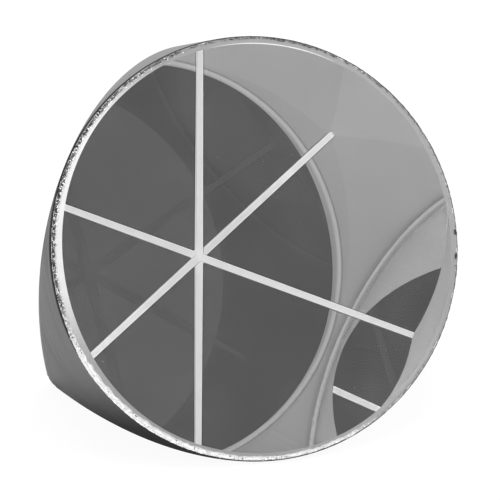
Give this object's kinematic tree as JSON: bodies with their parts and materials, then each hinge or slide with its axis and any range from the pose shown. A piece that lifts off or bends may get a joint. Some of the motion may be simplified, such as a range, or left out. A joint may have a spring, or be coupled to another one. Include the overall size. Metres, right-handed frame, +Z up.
{
  "type": "survey prism",
  "caption": "Corner-cube retroreflector glass: a round front face and three silvered, lacquered facets square to each other.",
  "frame": {"origin": "the point of the rest plane straight below the middle of the round front face", "axes": "+Z up along the top seam, -Z out of the bottom facet; -Y towards the side that the front face looks at; X across, with the prism alike on both sides of X=0"},
  "size_m": [0.0604, 0.0522, 0.0498],
  "materials": {
    "optical_glass": "polished front face and facets, fine-ground barrel, bevel and seams",
    "silver_mirror": "chemically silvered, mirror bright through the glass",
    "copper_plating": "thin matt copper plating that seals the silver",
    "facet_lacquer": "satin dark grey lacquer, brushed on",
    "barrel_lacquer": "satin dark grey lacquer, brushed round the barrel, with a ragged edge"
  },
  "bodies": {
    "root": {"glass_prism": "optical_glass", "silver_film_bottom": "silver_mirror", "silver_film_left": "silver_mirror", "silver_film_right": "silver_mirror", "copper_film_bottom": "copper_plating", "copper_film_left": "copper_plating", "copper_film_right": "copper_plating", "lacquer_facet_bottom": "facet_lacquer", "lacquer_facet_left": "facet_lacquer", "lacquer_facet_right": "facet_lacquer", "lacquer_barrel": "barrel_lacquer"}
  },
  "joints": []
}
